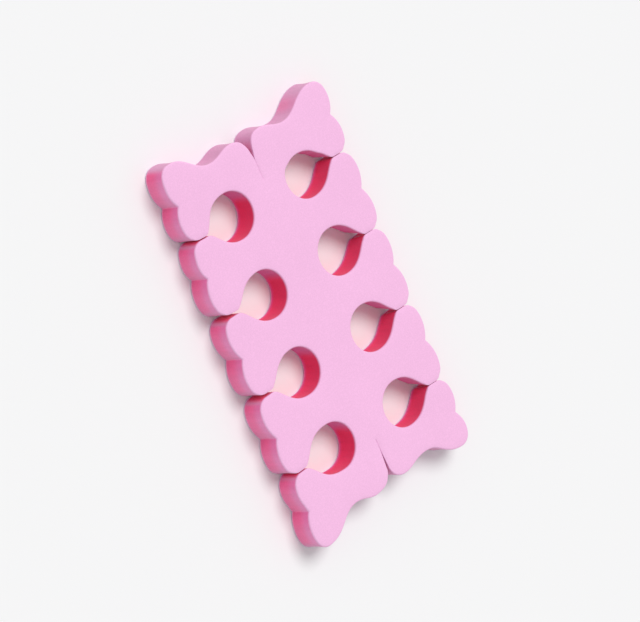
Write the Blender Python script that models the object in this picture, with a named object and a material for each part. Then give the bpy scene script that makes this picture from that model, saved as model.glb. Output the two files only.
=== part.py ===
"""Foam toe separator: a pair of combs with toe holes, cut from one sheet.

The two combs lie back to back and are joined along the middle of the sheet.
Each comb has fingers with two-lobed heads, and a drop-shaped toe hole between
neighbouring fingers that opens outwards through a narrow slit.
The row of fingers runs along X, the fingers point along +Y and -Y, and the
sheet lies on z = 0 with its centre over the origin. All values are in metres.
"""

import math

import bmesh
import bpy

# Sheet
SHEET_THICKNESS = 0.0073

# Fingers and the toe holes between them
FINGERS = 5
FINGER_PITCH = 0.020
SPINE_WIDTH = 0.0116
HOLE_WIDTH = 0.0116
HOLE_LENGTH = 0.0153
SLIT_WIDTH = 0.0004
SLIT_LENGTH = 0.0053

# Heads of the fingers
LOBE_NOTCH = 0.0014
LOBE_CORNER = 0.0032
NOTCH_FILLET = 0.0003
END_HEAD_WIDTH = 0.0180

# Ends of the sheet: steps inwards from the end heads' sides, then the cuts between the combs
WAIST_INSET = 0.0047
BULGE_INSET = 0.0031
BULGE_HEIGHT = 0.0046
END_NOTCH_DEPTH = 0.0033
END_SLIT_LENGTH = 0.0080
END_SLIT_WIDTH = 0.0004

# Reach of the curves' handles, as shares of the stretch that each curve spans
NECK_PULL = 0.3
BELLY_PULL = 0.62
NOTCH_PULL = 0.6
NOTCH_LIFT = 0.1
BULGE_PULL_IN = 0.7
BULGE_PULL_OUT = 0.4
WAIST_PULL_IN = 0.4
WAIST_PULL_OUT = 0.4
FLARE_PULL = 0.5
CORNER_LIMIT = 0.8

# Fineness of the outline
ARC_STEP = math.radians(10.0)
BEND_STEPS = 9
MERGE_DISTANCE = 0.000001

# Look
FOAM_COLOUR = (0.87, 0.51, 0.75, 1.0)
FOAM_ROUGHNESS = 0.9

# Names
COLLECTION_NAME = "toe_separator"
NODE_NAME = "foam_toe_separator"
MATERIAL_NAME = "pink_foam"

# Places that follow from the sizes, on the half sheet above the centre line
HOLE_RADIUS = HOLE_WIDTH / 2
HOLE_CENTRE_Y = SPINE_WIDTH / 2 + HOLE_RADIUS
HOLE_TIP_Y = SPINE_WIDTH / 2 + HOLE_LENGTH
HEAD_TOP_Y = HOLE_TIP_Y + SLIT_LENGTH
SLIT_HALF = SLIT_WIDTH / 2
END_SLIT_HALF = END_SLIT_WIDTH / 2
HEAD_WIDTH = FINGER_PITCH - SLIT_WIDTH
LAST_HOLE_X = (FINGERS - 2) / 2 * FINGER_PITCH
FLARE_X = LAST_HOLE_X + SLIT_HALF + END_HEAD_WIDTH
END_HEAD_X = FLARE_X - END_HEAD_WIDTH / 2
WAIST_X = FLARE_X - WAIST_INSET
BULGE_X = FLARE_X - BULGE_INSET
END_NOTCH_X = BULGE_X - END_NOTCH_DEPTH
END_SLIT_X = END_NOTCH_X - END_SLIT_LENGTH


def clear_scene():
    """Remove everything that the new scene holds."""
    for item in list(bpy.data.objects):
        bpy.data.objects.remove(item, do_unlink=True)


def arc(centre, radius, start, end):
    """Return points along an arc, from the angle start to the angle end."""
    steps = max(1, math.ceil(abs(end - start) / ARC_STEP))
    angles = [start + (end - start) * step / steps for step in range(steps + 1)]
    return [(centre[0] + radius * math.cos(a), centre[1] + radius * math.sin(a)) for a in angles]


def bend(start, start_handle, end_handle, end):
    """Return points along a cubic Bezier curve."""
    points = []
    for step in range(BEND_STEPS + 1):
        t = step / BEND_STEPS
        weights = ((1 - t) ** 3, 3 * t * (1 - t) ** 2, 3 * t * t * (1 - t), t ** 3)
        corners = (start, start_handle, end_handle, end)
        x = sum(weight * corner[0] for weight, corner in zip(weights, corners))
        y = sum(weight * corner[1] for weight, corner in zip(weights, corners))
        points.append((x, y))
    return points


def flipped(points):
    """Return the mirror image across x = 0, walked the other way."""
    return [(-x, y) for x, y in reversed(points)]


def shifted(points, distance):
    """Return the points moved along X."""
    return [(x + distance, y) for x, y in points]


def lobe(width):
    """Return one lobe of a head, from the head's side up to the notch at x = 0.

    The lobe is a flat bow with its crest half way along. A round corner touches
    it from inside and meets the head's side at x = width, and a small fillet
    touches it from outside and rounds the bottom of the notch.
    """
    crest_x = width / 2
    bow = (crest_x ** 2 + LOBE_NOTCH ** 2) / (2 * LOBE_NOTCH) - NOTCH_FILLET
    bow_y = HEAD_TOP_Y - bow
    corner = min(LOBE_CORNER, CORNER_LIMIT * bow)
    corner_run = width - corner - crest_x
    corner_rise = math.sqrt((bow - corner) ** 2 - corner_run ** 2)
    fillet_rise = bow + NOTCH_FILLET - LOBE_NOTCH
    corner_end = math.atan2(corner_rise, corner_run)
    bow_end = math.atan2(fillet_rise, -crest_x)
    side = arc((crest_x + corner_run, bow_y + corner_rise), corner, 0.0, corner_end)
    crest = arc((crest_x, bow_y), bow, corner_end, bow_end)
    notch = arc((0.0, bow_y + fillet_rise), NOTCH_FILLET, bow_end - math.pi, -math.pi / 2)
    return side + crest[1:] + notch[1:]


def toe_hole():
    """Return a toe hole centred on x = 0, from its slit's right side to its left side."""
    drop = HOLE_TIP_Y - HOLE_CENTRE_Y
    flank = bend(
        (SLIT_HALF, HOLE_TIP_Y),
        (SLIT_HALF, HOLE_TIP_Y - NECK_PULL * drop),
        (HOLE_RADIUS, HOLE_CENTRE_Y + BELLY_PULL * drop),
        (HOLE_RADIUS, HOLE_CENTRE_Y),
    )
    bottom = arc((0.0, HOLE_CENTRE_Y), HOLE_RADIUS, 0.0, -math.pi)
    return flank + bottom[1:-1] + flipped(flank)


def sheet_end(last_side):
    """Return the right end, from the inner end of its slit out to the end head's side."""
    notch_rise = BULGE_HEIGHT - END_SLIT_HALF
    waist_rise = HOLE_CENTRE_Y - BULGE_HEIGHT
    flare_rise = last_side[1] - HOLE_CENTRE_Y
    notch = bend(
        (END_NOTCH_X, END_SLIT_HALF),
        (END_NOTCH_X + NOTCH_PULL * END_NOTCH_DEPTH, END_SLIT_HALF + NOTCH_LIFT * notch_rise),
        (BULGE_X, BULGE_HEIGHT - BULGE_PULL_IN * notch_rise),
        (BULGE_X, BULGE_HEIGHT),
    )
    waist = bend(
        (BULGE_X, BULGE_HEIGHT),
        (BULGE_X, BULGE_HEIGHT + BULGE_PULL_OUT * waist_rise),
        (WAIST_X, HOLE_CENTRE_Y - WAIST_PULL_IN * waist_rise),
        (WAIST_X, HOLE_CENTRE_Y),
    )
    flare = bend(
        (WAIST_X, HOLE_CENTRE_Y),
        (WAIST_X, HOLE_CENTRE_Y + WAIST_PULL_OUT * flare_rise),
        (last_side[0], last_side[1] - FLARE_PULL * flare_rise),
        last_side,
    )
    return [(END_SLIT_X, END_SLIT_HALF)] + notch + waist[1:] + flare[1:-1]


def head(width):
    """Return the top of a head centred on x = 0, from its right side to its left side."""
    right = lobe(width / 2)
    return right + flipped(right)[1:]


def comb():
    """Return the outline of the upper comb, from its right end to its left end."""
    end_head = shifted(head(END_HEAD_WIDTH), END_HEAD_X)
    inner_head = head(HEAD_WIDTH)
    hole = toe_hole()
    right_end = sheet_end(end_head[0]) + end_head
    points = right_end + shifted(hole, LAST_HOLE_X)
    for finger in range(1, FINGERS - 1):
        x = LAST_HOLE_X - (finger - 0.5) * FINGER_PITCH
        points += shifted(inner_head, x) + shifted(hole, x - FINGER_PITCH / 2)
    return points + flipped(right_end)


def sheet_outline():
    """Return the closed outline of both combs: the lower one is the upper one turned half round."""
    upper = comb()
    return upper + [(-x, -y) for x, y in upper]


def extruded_outline(name, outline, thickness):
    """Return a closed mesh of the outline, from z = 0 up to the thickness."""
    curve = bpy.data.curves.new(name, "CURVE")
    curve.dimensions = "2D"
    curve.fill_mode = "BOTH"
    curve.extrude = thickness / 2
    spline = curve.splines.new("POLY")
    spline.points.add(len(outline) - 1)
    for point, (x, y) in zip(spline.points, outline):
        point.co = (x, y, 0.0, 1.0)
    spline.use_cyclic_u = True
    guide = bpy.data.objects.new(name + "_guide", curve)
    bpy.context.scene.collection.objects.link(guide)
    guide.location.z = thickness / 2
    bpy.context.view_layer.update()
    evaluated = guide.evaluated_get(bpy.context.evaluated_depsgraph_get())
    mesh = bpy.data.meshes.new_from_object(evaluated)
    mesh.name = name
    mesh.transform(guide.matrix_world)
    bpy.data.objects.remove(guide, do_unlink=True)
    bm = bmesh.new()
    bm.from_mesh(mesh)
    bmesh.ops.remove_doubles(bm, verts=bm.verts, dist=MERGE_DISTANCE)
    bmesh.ops.recalc_face_normals(bm, faces=bm.faces)
    bm.to_mesh(mesh)
    bm.free()
    return mesh


def foam_material():
    """Return the matt pink foam."""
    material = bpy.data.materials.new(MATERIAL_NAME)
    material.use_nodes = True
    shader = material.node_tree.nodes["Principled BSDF"]
    shader.inputs["Base Color"].default_value = FOAM_COLOUR
    shader.inputs["Roughness"].default_value = FOAM_ROUGHNESS
    shader.inputs["Metallic"].default_value = 0.0
    material.diffuse_color = FOAM_COLOUR
    return material


def build_separator():
    """Build the one solid of the toe separator."""
    collection = bpy.data.collections.new(COLLECTION_NAME)
    bpy.context.scene.collection.children.link(collection)
    mesh = extruded_outline(NODE_NAME, sheet_outline(), SHEET_THICKNESS)
    mesh.materials.append(foam_material())
    separator = bpy.data.objects.new(NODE_NAME, mesh)
    collection.objects.link(separator)
    return separator


clear_scene()
build_separator()
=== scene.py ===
# Foam toe separator: one soft pink sheet, cut to two combs that lie back to back.
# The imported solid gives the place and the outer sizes.
# The foam gets its rims, its cut sides, its lie and its finish here.
import math

import bmesh
import bpy
from mathutils import Matrix, Vector
from mathutils.geometry import delaunay_2d_cdt
from mathutils.kdtree import KDTree


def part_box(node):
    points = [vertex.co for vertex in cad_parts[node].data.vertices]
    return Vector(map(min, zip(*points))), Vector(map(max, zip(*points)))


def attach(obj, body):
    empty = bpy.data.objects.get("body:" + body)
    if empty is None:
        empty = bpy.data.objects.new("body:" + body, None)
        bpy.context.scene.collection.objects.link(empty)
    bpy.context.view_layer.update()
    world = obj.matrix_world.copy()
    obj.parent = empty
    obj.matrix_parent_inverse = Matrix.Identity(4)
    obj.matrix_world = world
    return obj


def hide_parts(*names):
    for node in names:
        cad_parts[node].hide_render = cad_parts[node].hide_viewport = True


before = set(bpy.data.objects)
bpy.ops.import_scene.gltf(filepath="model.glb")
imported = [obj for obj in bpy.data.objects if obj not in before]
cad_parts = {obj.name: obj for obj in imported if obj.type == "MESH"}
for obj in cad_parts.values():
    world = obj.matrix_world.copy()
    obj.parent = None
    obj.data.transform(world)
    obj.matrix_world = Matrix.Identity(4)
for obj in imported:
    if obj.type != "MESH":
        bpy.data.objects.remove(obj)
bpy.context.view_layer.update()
print("Frame loaded")


# Outline of the sheet: the row of fingers runs along X, and the upper comb lies towards +Y

cut = {  # sizes in metres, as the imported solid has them
    "fingers": 5,
    "pitch": 0.020,            # from one toe hole to the next
    "spineWidth": 0.0116,      # foam between the two rows of toe holes
    "holeWidth": 0.0116,
    "holeLength": 0.0153,
    "slitWidth": 0.0004,
    "lobeNotch": 0.0014,       # depth of the notch between the two lobes of a head
    "lobeCorner": 0.0032,
    "notchFillet": 0.0003,
    "waistInset": 0.0047,      # steps in from the end heads' sides
    "bulgeInset": 0.0031,
    "bulgeHeight": 0.0046,
    "endNotchDepth": 0.0033,
    "endSlitLength": 0.0080,
    "endSlitWidth": 0.0004,

    # reach of the curves' handles, as shares of the stretch that each curve spans
    "neckPull": 0.3,
    "bellyPull": 0.62,
    "notchPull": 0.6,
    "notchLift": 0.1,
    "bulgePullIn": 0.7,
    "bulgePullOut": 0.4,
    "waistPullIn": 0.4,
    "waistPullOut": 0.4,
    "flarePull": 0.5,
    "cornerLimit": 0.8,        # most that a lobe's corner may take of its bow

    # fineness of the line
    "longestStep": 0.00035,
    "sharpestTurn": math.radians(12.0),
    "curveSpare": 1.2,         # how much longer than the straight way a curve is taken to be
}

nodeName = "foam_toe_separator"
sheetLow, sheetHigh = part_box(nodeName)
thickness = sheetHigh.z - sheetLow.z
headTop = sheetHigh.y                       # crests of the lobes
flareX = sheetHigh.x                        # sides of the end heads
holeRadius = cut["holeWidth"] / 2
holeCentreY = cut["spineWidth"] / 2 + holeRadius
holeTipY = cut["spineWidth"] / 2 + cut["holeLength"]
slitHalf = cut["slitWidth"] / 2
endSlitHalf = cut["endSlitWidth"] / 2
headWidth = cut["pitch"] - cut["slitWidth"]
lastHoleX = (cut["fingers"] - 2) / 2 * cut["pitch"]
holesX = [lastHoleX - hole * cut["pitch"] for hole in range(cut["fingers"] - 1)]  # from the right
endHeadWidth = flareX - lastHoleX - slitHalf
endHeadX = flareX - endHeadWidth / 2
bulgeX = flareX - cut["bulgeInset"]
waistX = flareX - cut["waistInset"]
endNotchX = bulgeX - cut["endNotchDepth"]
endSlitX = endNotchX - cut["endSlitLength"]


def arc(centre, radius, start, end):
    turn = abs(end - start)
    stepsForTurn = math.ceil(turn / cut["sharpestTurn"])
    stepsForLength = math.ceil(turn * radius / cut["longestStep"])
    steps = max(1, stepsForTurn, stepsForLength)
    angles = [start + (end - start) * step / steps for step in range(steps + 1)]
    return [(centre[0] + radius * math.cos(angle), centre[1] + radius * math.sin(angle)) for angle in angles]


def bend(start, startHandle, endHandle, end):  # cubic curve
    steps = math.ceil(cut["curveSpare"] * math.dist(start, end) / cut["longestStep"])
    corners = (start, startHandle, endHandle, end)
    points = []
    for step in range(steps + 1):
        t = step / steps
        weights = ((1 - t) ** 3, 3 * t * (1 - t) ** 2, 3 * t * t * (1 - t), t ** 3)
        points.append(tuple(
            sum(weight * corner[axis] for weight, corner in zip(weights, corners)) for axis in (0, 1)))
    return points


def flipped(points):  # mirror image across x = 0, walked the other way
    return [(-x, y) for x, y in reversed(points)]


def shifted(points, distance):
    return [(x + distance, y) for x, y in points]


def lobe(width):  # from the head's side up to the notch at x = 0
    # a flat bow with its crest half way along, a round corner at its side and a small fillet in the notch
    crestX = width / 2
    bow = (crestX ** 2 + cut["lobeNotch"] ** 2) / (2 * cut["lobeNotch"]) - cut["notchFillet"]
    bowY = headTop - bow
    corner = min(cut["lobeCorner"], cut["cornerLimit"] * bow)
    cornerRun = width - corner - crestX
    cornerRise = math.sqrt((bow - corner) ** 2 - cornerRun ** 2)
    filletRise = bow + cut["notchFillet"] - cut["lobeNotch"]
    cornerEnd = math.atan2(cornerRise, cornerRun)
    bowEnd = math.atan2(filletRise, -crestX)
    side = arc((crestX + cornerRun, bowY + cornerRise), corner, 0.0, cornerEnd)
    crest = arc((crestX, bowY), bow, cornerEnd, bowEnd)
    notch = arc((0.0, bowY + filletRise), cut["notchFillet"], bowEnd - math.pi, -math.pi / 2)
    return side + crest[1:] + notch[1:]


def toeHole():  # centred on x = 0, from its slit's right side to its left side
    drop = holeTipY - holeCentreY
    flank = bend(
        (slitHalf, holeTipY),
        (slitHalf, holeTipY - cut["neckPull"] * drop),
        (holeRadius, holeCentreY + cut["bellyPull"] * drop),
        (holeRadius, holeCentreY),
    )
    bottom = arc((0.0, holeCentreY), holeRadius, 0.0, -math.pi)
    return flank + bottom[1:-1] + flipped(flank)


def sheetEnd(lastSide):  # from the inner end of its slit out to the end head's side
    notchRise = cut["bulgeHeight"] - endSlitHalf
    waistRise = holeCentreY - cut["bulgeHeight"]
    flareRise = lastSide[1] - holeCentreY
    notch = bend(
        (endNotchX, endSlitHalf),
        (endNotchX + cut["notchPull"] * cut["endNotchDepth"], endSlitHalf + cut["notchLift"] * notchRise),
        (bulgeX, cut["bulgeHeight"] - cut["bulgePullIn"] * notchRise),
        (bulgeX, cut["bulgeHeight"]),
    )
    waist = bend(
        (bulgeX, cut["bulgeHeight"]),
        (bulgeX, cut["bulgeHeight"] + cut["bulgePullOut"] * waistRise),
        (waistX, holeCentreY - cut["waistPullIn"] * waistRise),
        (waistX, holeCentreY),
    )
    flare = bend(
        (waistX, holeCentreY),
        (waistX, holeCentreY + cut["waistPullOut"] * flareRise),
        (lastSide[0], lastSide[1] - cut["flarePull"] * flareRise),
        lastSide,
    )
    return [(endSlitX, endSlitHalf)] + notch + waist[1:] + flare[1:-1]


def head(width):  # centred on x = 0, from its right side to its left side
    right = lobe(width / 2)
    return right + flipped(right)[1:]


def comb():  # upper comb, from its right end to its left end
    endHead = shifted(head(endHeadWidth), endHeadX)
    innerHead = head(headWidth)
    hole = toeHole()
    rightEnd = sheetEnd(endHead[0]) + endHead
    points = rightEnd + shifted(hole, lastHoleX)
    for holeX in holesX[1:]:
        points += shifted(innerHead, holeX + cut["pitch"] / 2) + shifted(hole, holeX)
    return points + flipped(rightEnd)


def evenlyWalked(points):  # closed outline, its straight stretches split into short steps
    walked = []
    for here, there in zip(points, points[1:] + points[:1]):
        steps = max(1, math.ceil(math.dist(here, there) / cut["longestStep"]))
        for step in range(steps):
            t = step / steps
            walked.append((here[0] + (there[0] - here[0]) * t, here[1] + (there[1] - here[1]) * t))
    return walked


def sheetOutline():  # the lower comb is the upper one turned half round
    upper = comb()
    return [Vector(point) for point in evenlyWalked(upper + [(-x, -y) for x, y in upper])]


def outwardArrows(outline):  # unit arrows across the cut, pointing out of the foam
    arrows = []
    for index, point in enumerate(outline):
        ahead = (outline[(index + 1) % len(outline)] - point).normalized()
        along = ahead + (point - outline[index - 1]).normalized()
        arrows.append(Vector((along.y, -along.x)).normalized())
    return arrows


# Foam sheet

foam = {
    "rimRadius": 0.00042,      # the die leaves the cut rims slightly round
    "slitRimShare": 0.15,      # of it, where two sides all but touch
    "openFrom": 0.0009,        # from a slit's middle line to where a cut counts as open
    "sideHollow": 0.00020,     # the cut sides spring back, so they are a little hollow
    "hollowFrom": 0.8,         # share of the way to the middle height, past which they are no hollower
    "hollowEase": 0.5,
    "sideSteps": 22,           # rows of faces down a side
    "droop": 0.00010,          # how far the faces are pressed down at the cuts
    "droopReach": 0.0016,
    "unevenness": 0.00007,     # soft foam is never quite flat
    "unevenSize": 0.011,
    "wander": 0.00005,         # of the cut line
    "wanderSize": 0.0045,
    "noiseDetail": 1.0,
    "seed": 4.0,
    "lowerSeedStep": 7.0,      # so that the lower face is uneven in its own way

    # how the soft sheet lies, with heads and slits counted from the left
    "lowerLeans": (-0.00045, -0.00050, 0.00010, 0.00055, 0.00050),  # of the heads' tips
    "upperLeans": (-0.00005, 0.00002, 0.0, 0.00004, 0.00005),
    "toeSlitGaps": (1.0, 0.25),    # shares of the slits' drawn width: the lower comb, the upper comb
    "footSpreads": (0.0005, 0.0009, 0.0009, 0.0007),  # of the upper slits at the lower face, a side
    "footSpreadFrom": 0.0130,      # from the middle line: where the spreading starts and where it is whole
    "footSpreadTo": 0.0190,
    "footSpreadReach": 0.0090,     # along the row, from a slit
    "footSpreadTip": 0.3,          # share of it that is left at the heads' tips
    "endSlits": (                  # share of the drawn width, where it opens, how far it spreads
        (0.03, 0.0385, 0.00045),
        (0.15, 0.0360, 0.00015),
    ),
    "endSpreadTo": 0.0425,         # along the row, where the spreading is whole
    "endSpreadReach": 0.0080,      # across the row
    "pushes": (                    # slight bends of the outline: where, how far, and how wide each reaches
        ((-0.0360, -0.0255), (0.0012, 0.0005), (0.0170, 0.0095)),
        ((0.0300, -0.0080), (0.0, 0.0008), (0.0120, 0.0080)),
        ((0.0500, -0.0160), (0.0009, 0.0), (0.0130, 0.0180)),
        ((0.0345, -0.0260), (0.0, 0.0006), (0.0060, 0.0060)),
        ((-0.0355, 0.0130), (0.0007, 0.0), (0.0060, 0.0080)),
        ((0.0490, 0.0205), (-0.0008, 0.0), (0.0100, 0.0120)),
        ((0.0400, 0.0), (0.0, 0.0004), (0.0140, 0.0060)),
    ),
    "pushWholeTo": 0.5,            # share of its reach up to which a push is whole

    # colour of the cut sides, which the material reads: painted shade and red bounce light
    "sideStart": 0.0001,           # from a face, where it starts and where it is whole
    "sideEnd": 0.0008,
    "endSlitShare": 0.15,          # of the toe holes' painted red shade, in the end slits

    # mesh
    "faceStep": 0.0011,            # between the points inside the faces
    "faceMargin": 0.00055,         # from the rim to the nearest of them
    "faceReach": 0.0000002,        # points of a face that are closer than this are one
    "weld": 0.000002,
}


def smooth(share):
    share = max(0.0, min(1.0, share))
    return share * share * (3 - 2 * share)


def nearestHoleX(point):
    return min(holesX, key=lambda holeX: abs(point.x - holeX))


def openness(point):  # 0 in a slit, rising to 1 where the cut is open
    fromHole = abs(point.x - nearestHoleX(point))
    fromMiddle = fromHole if abs(point.y) > holeCentreY else abs(point.y)
    return smooth((fromMiddle - slitHalf) / (foam["openFrom"] - slitHalf))


def rested(point):  # where a point of the drawn outline comes to lie
    gap, openFrom, spread = foam["endSlits"][int(point.x > 0)]
    opened = smooth((abs(point.x) - openFrom) / (foam["endSpreadTo"] - openFrom))
    apart = math.copysign(spread * opened * (1 - smooth(abs(point.y) / foam["endSpreadReach"])), point.y)
    if abs(point.y) < endSlitHalf + foam["weld"]:
        return Vector((point.x, point.y * (gap + (1 - gap) * opened) + apart))
    isUpper = point.y > 0
    lean = foam["upperLeans" if isUpper else "lowerLeans"][sum(1 for holeX in holesX if point.x > holeX)]
    reach = smooth((abs(point.y) - holeCentreY) / (headTop - holeCentreY))
    shutBy = 0.0
    if abs(point.y) > holeCentreY:
        shutBy = (1 - foam["toeSlitGaps"][int(isUpper)]) * (1 - openness(point)) * slitHalf
        shutBy = math.copysign(shutBy, point.x - nearestHoleX(point))
    return Vector((point.x + lean * reach - shutBy, point.y + apart))


def pushed(point):
    moved = point.copy()
    for place, push, reach in foam["pushes"]:
        apart = math.hypot((point.x - place[0]) / reach[0], (point.y - place[1]) / reach[1])
        moved += smooth((1 - apart) / (1 - foam["pushWholeTo"])) * Vector(push)
    return moved


def footSpread(point):  # how far along the row a point moves from the upper face down to the lower one
    holeX = nearestHoleX(point)
    opened = smooth((point.y - foam["footSpreadFrom"]) / (foam["footSpreadTo"] - foam["footSpreadFrom"]))
    closed = (1 - foam["footSpreadTip"]) * smooth((point.y - holeTipY) / (headTop - holeTipY))
    near = 1 - smooth(abs(point.x - holeX) / foam["footSpreadReach"])
    spread = foam["footSpreads"][holesX[::-1].index(holeX)]
    return math.copysign(spread * opened * (1 - closed) * near, point.x - holeX)


def holeShare(point):  # 1 on the sides of a toe hole and its slit, and less in an end slit: where the material paints the holes' red shade
    fromSpine = abs(point.y) + foam["weld"] - cut["spineWidth"] / 2
    if abs(point.x - nearestHoleX(point)) < holeRadius + foam["weld"] and 0 < fromSpine < cut["holeLength"]:
        return 1.0
    slitShare = 1.0 if abs(point.y) > holeTipY else foam["endSlitShare"]
    return slitShare * (1 - openness(point))


def facePoints(rim):  # staggered points inside the face, clear of its rim
    cell = foam["faceStep"]
    rowRise = math.sin(math.pi / 3)  # rows of even triangles
    taken = {}
    for point in rim:
        taken.setdefault((math.floor(point.x / cell), math.floor(point.y / cell)), []).append(point)
    points = []
    rows = math.ceil(headTop / (cell * rowRise))
    columns = math.ceil(flareX / cell) + 1
    for row in range(-rows, rows + 1):
        for column in range(-columns, columns + 1):
            place = Vector(((column + 0.5 * (row % 2)) * cell, row * cell * rowRise))
            corner = (math.floor(place.x / cell), math.floor(place.y / cell))
            cells = [(corner[0] + right, corner[1] + up) for right in (-1, 0, 1) for up in (-1, 0, 1)]
            near = [point for beside in cells for point in taken.get(beside, [])]
            if all((point - place).length > foam["faceMargin"] for point in near):
                points.append(place)
    return points


def searchTree(points):
    tree = KDTree(len(points))
    for index, point in enumerate(points):
        tree.insert((point.x, point.y, 0.0), index)
    tree.balance()
    return tree


def flatFace():  # one face of the sheet inside its round rim, with what the node tree reads of the cut
    drawn = sheetOutline()
    outline = [pushed(rested(point)) for point in drawn]
    arrows = outwardArrows(outline)
    rimShares = [foam["slitRimShare"] + (1 - foam["slitRimShare"]) * openness(point) for point in drawn]
    rim = [
        point - arrow * share * foam["rimRadius"] for point, arrow, share in zip(outline, arrows, rimShares)]
    edges = [(index, (index + 1) % len(rim)) for index in range(len(rim))]
    insideOnly = 1
    places, _, faces, sources, _, _ = delaunay_2d_cdt(
        rim + facePoints(rim), edges, [], insideOnly, foam["faceReach"])
    used = sorted({corner for face in faces for corner in face})
    placeOf = {old: new for new, old in enumerate(used)}
    corners = [(places[old].x, places[old].y, 0.0) for old in used]
    mesh = bpy.data.meshes.new("foamFace")
    mesh.from_pydata(corners, [], [[placeOf[old] for old in face] for face in faces])
    cutTree = searchTree(outline)
    outward, spreads, holeShares, sharesOfRim, toCut = [], [], [], [], []
    for old in used:
        source = sources[old][0]
        onRim = source < len(rim)
        outward += (*arrows[source], 0.0) if onRim else (0.0, 0.0, 0.0)
        spreads += (footSpread(drawn[source] if onRim else places[old]), 0.0, 0.0)
        holeShares.append(holeShare(drawn[source]) if onRim else 0.0)
        sharesOfRim.append(rimShares[source] if onRim else 0.0)
        toCut.append(cutTree.find(corners[placeOf[old]])[2])
    for name, values in (("outward", outward), ("footSpread", spreads)):
        mesh.attributes.new(name, "FLOAT_VECTOR", "POINT").data.foreach_set("vector", values)
    for name, values in (("holeShare", holeShares), ("rimShare", sharesOfRim), ("toCut", toCut)):
        mesh.attributes.new(name, "FLOAT", "POINT").data.foreach_set("value", values)
    return mesh


def addNode(tree, kind, inputs=None, **settings):
    node = tree.nodes.new(kind)
    for name, value in settings.items():
        setattr(node, name, value)
    for key, value in (inputs or {}).items():
        if isinstance(value, bpy.types.NodeSocket):
            tree.links.new(value, node.inputs[key])
        else:
            node.inputs[key].default_value = value
    return node


def maths(tree, operation, *values):
    return addNode(tree, "ShaderNodeMath", dict(enumerate(values)), operation=operation).outputs[0]


def vectorMaths(tree, operation, first, second):
    return addNode(tree, "ShaderNodeVectorMath", {0: first, 1: second}, operation=operation).outputs[0]


def scaled(tree, vector, factor):
    return addNode(tree, "ShaderNodeVectorMath", {0: vector, "Scale": factor}, operation="SCALE").outputs[0]


def stepped(tree, value, start, end):  # 0 up to the start, rising smoothly to 1 at the end
    node = addNode(tree, "ShaderNodeMapRange", {
        "Value": value, "From Min": start, "From Max": end}, interpolation_type="SMOOTHSTEP")
    return node.outputs["Result"]


def namedValue(tree, name, kind="FLOAT"):
    node = addNode(tree, "GeometryNodeInputNamedAttribute", {"Name": name}, data_type=kind)
    return node.outputs["Attribute"]


def noise(tree, place, size, seed, kind="Fac"):
    scale = maths(tree, "DIVIDE", 1.0, size)
    node = addNode(tree, "ShaderNodeTexNoise", {
        "Vector": place, "W": seed, "Scale": scale, "Detail": foam["noiseDetail"]}, noise_dimensions="4D")
    return node.outputs[kind]


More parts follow.
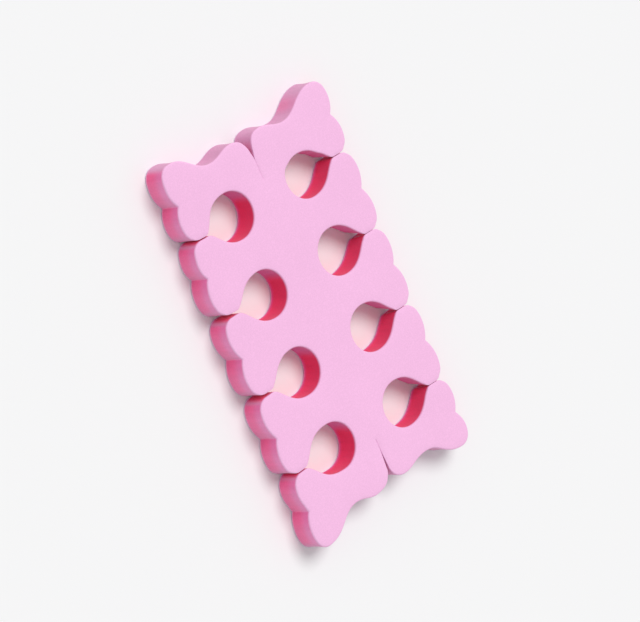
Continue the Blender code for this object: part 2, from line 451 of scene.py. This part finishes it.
def foamSheetTree():
    tree = bpy.data.node_groups.new("foamSheetTree", "GeometryNodeTree")
    sockets = [
        ("Face", "NodeSocketGeometry"),
        ("Thickness", "NodeSocketFloat"), ("Rim Radius", "NodeSocketFloat"),
        ("Side Hollow", "NodeSocketFloat"), ("Side Steps", "NodeSocketInt"),
        ("Droop", "NodeSocketFloat"), ("Droop Reach", "NodeSocketFloat"),
        ("Unevenness", "NodeSocketFloat"), ("Uneven Size", "NodeSocketFloat"),
        ("Wander", "NodeSocketFloat"), ("Wander Size", "NodeSocketFloat"),
        ("Seed", "NodeSocketFloat"), ("Foam", "NodeSocketMaterial"),
    ]
    for name, kind in sockets:
        tree.interface.new_socket(name, in_out="INPUT", socket_type=kind)
    tree.interface.new_socket("Sheet", in_out="OUTPUT", socket_type="NodeSocketGeometry")
    given = addNode(tree, "NodeGroupInput").outputs
    position = addNode(tree, "GeometryNodeInputPosition").outputs[0]
    split = addNode(tree, "ShaderNodeSeparateXYZ", {0: position}).outputs

    # side profile: a straight drop whose points crowd towards both rims
    drop = addNode(tree, "GeometryNodeCurvePrimitiveLine").outputs[0]
    rows = maths(tree, "ADD", given["Side Steps"], 1.0)
    profile = addNode(tree, "GeometryNodeResampleCurve", {"Curve": drop, "Count": rows}).outputs[0]
    along = addNode(tree, "GeometryNodeSplineParameter").outputs["Factor"]
    turn = maths(tree, "MULTIPLY", along, math.pi)
    crowded = maths(tree, "MULTIPLY_ADD", maths(tree, "COSINE", turn), -0.5, 0.5)
    depth = maths(tree, "MULTIPLY", crowded, given["Thickness"])
    profilePlace = addNode(tree, "ShaderNodeCombineXYZ", {1: depth}).outputs[0]
    profile = addNode(tree, "GeometryNodeSetPosition", {
        "Geometry": profile, "Position": profilePlace}).outputs[0]

    # sides: the face's rim, whose edges have one face each, carried down the profile
    neighbours = addNode(tree, "GeometryNodeInputMeshEdgeNeighbors").outputs[0]
    onRim = addNode(tree, "FunctionNodeCompare", {
        2: neighbours, 3: 1}, data_type="INT", operation="EQUAL").outputs[0]
    rim = addNode(tree, "GeometryNodeMeshToCurve", {"Mesh": given["Face"], "Selection": onRim}).outputs[0]
    lift = addNode(tree, "ShaderNodeCombineXYZ", {2: given["Thickness"]}).outputs[0]
    rim = addNode(tree, "GeometryNodeSetPosition", {"Geometry": rim, "Offset": lift}).outputs[0]
    rim = addNode(tree, "GeometryNodeSetCurveNormal", {"Curve": rim}, mode="Z_UP").outputs[0]
    sides = addNode(tree, "GeometryNodeCurveToMesh", {"Curve": rim, "Profile Curve": profile}).outputs[0]
    fromFace = maths(tree, "MINIMUM", split[2], maths(tree, "SUBTRACT", given["Thickness"], split[2]))
    fromFace = maths(tree, "MAXIMUM", fromFace, 0.0)
    rimShare = namedValue(tree, "rimShare")
    radius = maths(tree, "MULTIPLY", given["Rim Radius"], rimShare)
    overRim = maths(tree, "SUBTRACT", radius, maths(tree, "MINIMUM", fromFace, radius))
    squares = maths(tree, "SUBTRACT", maths(tree, "POWER", radius, 2.0), maths(tree, "POWER", overRim, 2.0))
    roundOut = maths(tree, "SQRT", maths(tree, "MAXIMUM", squares, 0.0))
    middle = maths(tree, "DIVIDE", maths(tree, "MULTIPLY", fromFace, 2.0), given["Thickness"])
    hollow = maths(tree, "SMOOTH_MIN", middle, foam["hollowFrom"], foam["hollowEase"])
    hollow = maths(tree, "MULTIPLY", hollow, given["Side Hollow"])
    outBy = maths(tree, "SUBTRACT", roundOut, maths(tree, "MULTIPLY", hollow, rimShare))
    sideOffset = scaled(tree, namedValue(tree, "outward", "FLOAT_VECTOR"), outBy)
    sideShare = stepped(tree, fromFace, foam["sideStart"], foam["sideEnd"])
    sides = addNode(tree, "GeometryNodeStoreNamedAttribute", {
        "Geometry": sides, "Name": "sideShare", "Value": sideShare}).outputs[0]
    sides = addNode(tree, "GeometryNodeSetPosition", {"Geometry": sides, "Offset": sideOffset}).outputs[0]

    # both faces, and everything as one skin
    upper = addNode(tree, "GeometryNodeSetPosition", {"Geometry": given["Face"], "Offset": lift}).outputs[0]
    lower = addNode(tree, "GeometryNodeFlipFaces", {"Mesh": given["Face"]}).outputs[0]
    joined = addNode(tree, "GeometryNodeJoinGeometry")
    for part in (upper, lower, sides):
        tree.links.new(part, joined.inputs[0])
    skin = addNode(tree, "GeometryNodeMergeByDistance", {
        "Geometry": joined.outputs[0], "Distance": foam["weld"]}).outputs[0]

    # soft foam: uneven faces pressed at the cuts, a cut line that wanders, slits that spread downwards
    flatPlace = addNode(tree, "ShaderNodeCombineXYZ", {0: split[0], 1: split[1]}).outputs[0]
    reach = maths(tree, "DIVIDE", namedValue(tree, "toCut"), given["Droop Reach"])
    nearCut = maths(tree, "EXPONENT", maths(tree, "MULTIPLY", reach, -1.0))
    pressed = maths(tree, "MULTIPLY", nearCut, given["Droop"])
    lowerSeed = maths(tree, "ADD", given["Seed"], foam["lowerSeedStep"])
    upperNoise = noise(tree, flatPlace, given["Uneven Size"], given["Seed"])
    lowerNoise = noise(tree, flatPlace, given["Uneven Size"], lowerSeed)
    upperDip = maths(tree, "MULTIPLY_ADD", upperNoise, given["Unevenness"], pressed)
    lowerDip = maths(tree, "MULTIPLY_ADD", lowerNoise, given["Unevenness"], pressed)
    height = maths(tree, "DIVIDE", split[2], given["Thickness"])
    upperRise = maths(tree, "MULTIPLY", upperDip, -1.0)
    rise = addNode(tree, "ShaderNodeMix", {"Factor": height, "A": lowerDip, "B": upperRise})
    rises = addNode(tree, "ShaderNodeCombineXYZ", {2: rise.outputs["Result"]}).outputs[0]
    wanderNoise = noise(tree, position, given["Wander Size"], given["Seed"], "Color")
    centred = vectorMaths(tree, "ADD", wanderNoise, (-0.5, -0.5, -0.5))
    wander = scaled(tree, centred, maths(tree, "MULTIPLY", given["Wander"], 2.0))
    relief = vectorMaths(tree, "ADD", vectorMaths(tree, "MULTIPLY", wander, (1.0, 1.0, 0.0)), rises)
    fromTop = maths(tree, "SUBTRACT", 1.0, height)
    atFoot = scaled(tree, namedValue(tree, "footSpread", "FLOAT_VECTOR"), fromTop)
    relief = vectorMaths(tree, "ADD", relief, atFoot)
    skin = addNode(tree, "GeometryNodeSetPosition", {"Geometry": skin, "Offset": relief}).outputs[0]
    skin = addNode(tree, "GeometryNodeSetShadeSmooth", {"Geometry": skin}).outputs[0]
    skin = addNode(tree, "GeometryNodeRealizeInstances", {"Geometry": skin}).outputs[0]
    skin = addNode(tree, "GeometryNodeSetMaterial", {"Geometry": skin, "Material": given["Foam"]}).outputs[0]
    addNode(tree, "NodeGroupOutput", {0: skin})
    return tree


# Colours are linear. The colours of the cut sides are painted shade and red bounce light, with painted light
# on the ends. A turn is how far a side faces +X, where a change starts and where it is whole.
finish = {
    "face": (0.925, 0.515, 0.790),
    # painted shade and red bounce light on the long cut sides, deeper than the face and redder towards the
    # foot
    "longSideTopShade": (0.88, 0.29, 0.56),
    "longSideFootShade": (0.95, 0.21, 0.43),
    "longSideRise": (0.35, 0.8),        # shares of the thickness, between the foot's colour and the top's
    "longSideRedBounce": (1.0, 0.66, 0.80),  # painted red bounce light: factor on it where a lobe turns towards -X
    "redBounceTurn": (0.05, -0.45),
    # painted light: the ends are lighter and mauve, lit without the red bounce
    "end": (0.74, 0.335, 0.545),
    "rightEndTurn": (0.05, 0.9),
    "leftEndTurn": (-0.6, -0.95),
    "endBand": (0.019, 0.014),          # from the sheet's middle line, where a side comes to count as an end
    # painted shade and red bounce light in the toe holes: raspberry within, magenta towards both rims
    "hole": (0.92, 0.042, 0.160),
    "holeRimShade": (0.86, 0.13, 0.45),
    "holeRimTop": 0.12,                 # shares of the thickness
    "holeRimFoot": 0.25,
    "holeMauveShade": (0.76, 0.19, 0.46),      # painted shade: mauve where a hole's side faces +X, without the red bounce
    "mauveShadeTurn": (0.1, 0.6),
    "mottle": 0.06,                     # slow drift of the colour over the sheet
    "mottleSize": 0.012,
    "mottleDetail": 2.0,
    "speckle": 0.10,                    # cells that show as slightly lighter and darker dots
    "cellSize": 0.00035,
    "streak": 0.16,                     # drag marks of the die, down the cut sides
    "streakSize": 0.0011,
    "streakSquash": (1.0, 1.0, 0.10),
    "streakDetail": 2.0,
    "roughness": 0.88,
    "specular": 0.25,
    "sheen": 0.12,
    "cellDepth": 0.00005,
    "streakDepth": 0.00008,
    "dentSize": 0.0022,
    "dentDetail": 3.0,
    "dentDepth": 0.00005,
    "bumpStrength": 0.6,
}


def colourMix(tree, share, first, second, blend="MIX"):  # inputs 6 and 7 and output 2 are its colours
    mix = addNode(tree, "ShaderNodeMix", {"Factor": share}, data_type="RGBA", blend_type=blend)
    for socket, value in ((mix.inputs[6], first), (mix.inputs[7], second)):
        if isinstance(value, bpy.types.NodeSocket):
            tree.links.new(value, socket)
        else:
            socket.default_value = (*value, 1.0)
    return mix.outputs[2]


def surfaceNoise(tree, place, size, detail):
    node = addNode(tree, "ShaderNodeTexNoise", {"Vector": place, "Scale": 1 / size, "Detail": detail})
    return node.outputs["Fac"]


def surfaceValue(tree, name, kind="Fac"):
    return addNode(tree, "ShaderNodeAttribute", attribute_name=name).outputs[kind]


def paintedSideLightAndShade(tree, split):
    high = maths(tree, "DIVIDE", split[2], thickness)
    aside = maths(tree, "ABSOLUTE", split[1])
    toRight = addNode(tree, "ShaderNodeSeparateXYZ", {0: surfaceValue(tree, "outward", "Vector")}).outputs[0]

    # painted shade and red bounce light on the sides of the holes: red, magenta at both rims, and mauve
    # where they face +X
    fromFoot = stepped(tree, high, 0.0, finish["holeRimFoot"])
    fromTop = stepped(tree, high, 1.0, 1.0 - finish["holeRimTop"])
    redShare = maths(tree, "MULTIPLY", fromFoot, fromTop)
    holeShadeColour = colourMix(tree, redShare, finish["holeRimShade"], finish["hole"])
    holeShadeColour = colourMix(tree, stepped(tree, toRight, *finish["mauveShadeTurn"]), holeShadeColour, finish["holeMauveShade"])

    # painted shade and red bounce light on the long sides: redder downwards and deeper where they turn
    # towards -X; painted light on the ends, which are mauve
    longRise = stepped(tree, high, *finish["longSideRise"])
    longSideShadeColour = colourMix(tree, longRise, finish["longSideFootShade"], finish["longSideTopShade"])
    redBounceShare = stepped(tree, toRight, *finish["redBounceTurn"])
    longSideShadeColour = colourMix(tree, redBounceShare, longSideShadeColour, finish["longSideRedBounce"], "MULTIPLY")
    rightEnd = stepped(tree, toRight, *finish["rightEndTurn"])
    leftEnd = stepped(tree, toRight, *finish["leftEndTurn"])
    endShare = maths(tree, "MAXIMUM", rightEnd, leftEnd)
    endShare = maths(tree, "MAXIMUM", endShare, stepped(tree, aside, *finish["endBand"]))
    outerLightAndShade = colourMix(tree, endShare, longSideShadeColour, finish["end"])
    return colourMix(tree, surfaceValue(tree, "holeShare"), outerLightAndShade, holeShadeColour)


def foamMaterial():
    material = bpy.data.materials.new("pinkFoam")
    material.use_nodes = True
    tree = material.node_tree
    shader = tree.nodes["Principled BSDF"]
    place = addNode(tree, "ShaderNodeTexCoord").outputs["Object"]
    split = addNode(tree, "ShaderNodeSeparateXYZ", {0: place}).outputs
    mottle = surfaceNoise(tree, place, finish["mottleSize"], finish["mottleDetail"])
    dents = surfaceNoise(tree, place, finish["dentSize"], finish["dentDetail"])
    cells = addNode(tree, "ShaderNodeTexVoronoi", {
        "Vector": place, "Scale": 1 / finish["cellSize"]}, feature="F1").outputs["Distance"]
    squashed = vectorMaths(tree, "MULTIPLY", place, finish["streakSquash"])
    streaks = surfaceNoise(tree, squashed, finish["streakSize"], finish["streakDetail"])
    sideShare = surfaceValue(tree, "sideShare")
    streaks = maths(tree, "MULTIPLY", maths(tree, "SUBTRACT", streaks, 0.5), sideShare)

    # the cut sides take their painted light and shade, the faces their own pink
    colour = colourMix(tree, sideShare, finish["face"], paintedSideLightAndShade(tree, split))
    tone = maths(tree, "MULTIPLY_ADD", maths(tree, "SUBTRACT", mottle, 0.5), finish["mottle"], 1.0)
    tone = maths(tree, "MULTIPLY_ADD", maths(tree, "SUBTRACT", cells, 0.5), finish["speckle"], tone)
    tone = maths(tree, "MULTIPLY_ADD", streaks, finish["streak"], tone)
    tree.links.new(scaled(tree, colour, tone), shader.inputs["Base Color"])

    normal = None
    for height, depth in ((cells, "cellDepth"), (dents, "dentDepth"), (streaks, "streakDepth")):
        bump = addNode(tree, "ShaderNodeBump", {
            "Height": height, "Distance": finish[depth], "Strength": finish["bumpStrength"]})
        if normal:
            tree.links.new(normal, bump.inputs["Normal"])
        normal = bump.outputs[0]
    tree.links.new(normal, shader.inputs["Normal"])
    shader.inputs["Roughness"].default_value = finish["roughness"]
    shader.inputs["Specular IOR Level"].default_value = finish["specular"]
    shader.inputs["Sheen Weight"].default_value = finish["sheen"]
    return material


def foamSheet():
    holder = bpy.data.objects.new("foamSheet", flatFace())
    bpy.context.scene.collection.objects.link(holder)
    tree = foamSheetTree()
    modifier = holder.modifiers.new("foamSheet", "NODES")
    modifier.node_group = tree
    values = {
        "Thickness": thickness, "Rim Radius": foam["rimRadius"], "Side Hollow": foam["sideHollow"],
        "Side Steps": foam["sideSteps"], "Droop": foam["droop"], "Droop Reach": foam["droopReach"],
        "Unevenness": foam["unevenness"], "Uneven Size": foam["unevenSize"], "Wander": foam["wander"],
        "Wander Size": foam["wanderSize"], "Seed": foam["seed"], "Foam": foamMaterial(),
    }
    for socket in tree.interface.items_tree:
        if socket.in_out == "INPUT" and socket.name in values:
            modifier[socket.identifier] = values[socket.name]
    evaluated = holder.evaluated_get(bpy.context.evaluated_depsgraph_get())
    mesh = bpy.data.meshes.new_from_object(evaluated)
    holder.modifiers.remove(modifier)
    holder.data = mesh
    bm = bmesh.new()
    bm.from_mesh(mesh)
    bmesh.ops.remove_doubles(bm, verts=bm.verts, dist=foam["weld"])
    bmesh.ops.recalc_face_normals(bm, faces=bm.faces)
    openEdges = sum(1 for edge in bm.edges if len(edge.link_faces) != 2)
    bm.to_mesh(mesh)
    bm.free()
    print("Foam sheet made:", len(mesh.polygons), "faces,", openEdges, "open edges")
    return holder


separator = foamSheet()
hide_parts(nodeName)
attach(separator, "root")


# Floor, lights and camera

studio = {
    "floorRadius": 3.0,
    "floorSides": 96,
    "floorColour": (0.92, 0.92, 0.925),
    "skyLight": 0.53,
    "keyLight": 1.68,              # W/m2
    "keyFrom": (-0.42, 0.20, 0.88),
    "keySpread": math.radians(32.0),
}
look = {
    "azimuth": math.radians(-22.64),
    "elevation": math.radians(53.29),
    "roll": math.radians(85.37),   # the row of fingers runs down the picture
    "distance": 0.8365,            # from the middle of the upper face
    "lens": 202.0,
    "sensor": 36.0,
    "clipStart": 0.041825,
    "clipEnd": 12.0,
}


def studioFloor():
    bpy.ops.mesh.primitive_circle_add(
        vertices=studio["floorSides"], radius=studio["floorRadius"], fill_type="NGON")
    floor = bpy.context.object
    floor.name = "studioFloor"
    material = bpy.data.materials.new("paleFloor")
    material.use_nodes = True
    shader = material.node_tree.nodes["Principled BSDF"]
    shader.inputs["Base Color"].default_value = (*studio["floorColour"], 1.0)
    shader.inputs["Roughness"].default_value = 1.0
    shader.inputs["Specular IOR Level"].default_value = 0.0
    floor.data.materials.append(material)


def studioWorld():  # even light, and the floor's own tone where a ray sees past the floor
    world = bpy.data.worlds.new("studioWorld")
    world.use_nodes = True
    bpy.context.scene.world = world
    tree = world.node_tree
    tree.nodes.clear()
    rays = addNode(tree, "ShaderNodeLightPath").outputs
    seen = maths(tree, "MAXIMUM", rays["Is Camera Ray"], rays["Is Glossy Ray"])
    seen = maths(tree, "MAXIMUM", seen, rays["Is Transmission Ray"])
    white, floorTone = (1.0, 1.0, 1.0, 1.0), (*studio["floorColour"], 1.0)
    light = addNode(tree, "ShaderNodeBackground", {"Color": white, "Strength": studio["skyLight"]})
    backdrop = addNode(tree, "ShaderNodeBackground", {"Color": floorTone, "Strength": 1.0})
    mixed = addNode(tree, "ShaderNodeMixShader", {0: seen, 1: light.outputs[0], 2: backdrop.outputs[0]})
    addNode(tree, "ShaderNodeOutputWorld", {0: mixed.outputs[0]})


def keyLight():
    lamp = bpy.data.lights.new("keyLight", "SUN")
    lamp.energy = studio["keyLight"]
    lamp.angle = studio["keySpread"]
    holder = bpy.data.objects.new("keyLight", lamp)
    bpy.context.scene.collection.objects.link(holder)
    holder.rotation_mode = "QUATERNION"
    holder.rotation_quaternion = Vector(studio["keyFrom"]).to_track_quat("Z", "Y")


def photoCamera():
    camera = bpy.data.cameras.new("photoCamera")
    camera.lens = look["lens"]
    camera.sensor_width = look["sensor"]
    camera.clip_start = look["clipStart"]
    camera.clip_end = look["clipEnd"]
    holder = bpy.data.objects.new("photoCamera", camera)
    bpy.context.scene.collection.objects.link(holder)
    alongX, alongY = math.cos(look["azimuth"]), math.sin(look["azimuth"])
    level, upwards = math.cos(look["elevation"]), math.sin(look["elevation"])
    back = Vector((alongY * level, -alongX * level, upwards))
    right = Vector((alongX, alongY, 0.0))
    right.rotate(Matrix.Rotation(look["roll"], 3, back))
    up = back.cross(right)
    aim = Vector(((sheetLow.x + sheetHigh.x) / 2, (sheetLow.y + sheetHigh.y) / 2, sheetHigh.z))
    turn = Matrix((right, up, back)).transposed().to_4x4()
    holder.matrix_world = Matrix.Translation(aim + back * look["distance"]) @ turn
    bpy.context.scene.camera = holder


studioFloor()
studioWorld()
keyLight()
photoCamera()
bpy.context.scene.view_settings.view_transform = "Standard"
print("Studio made")
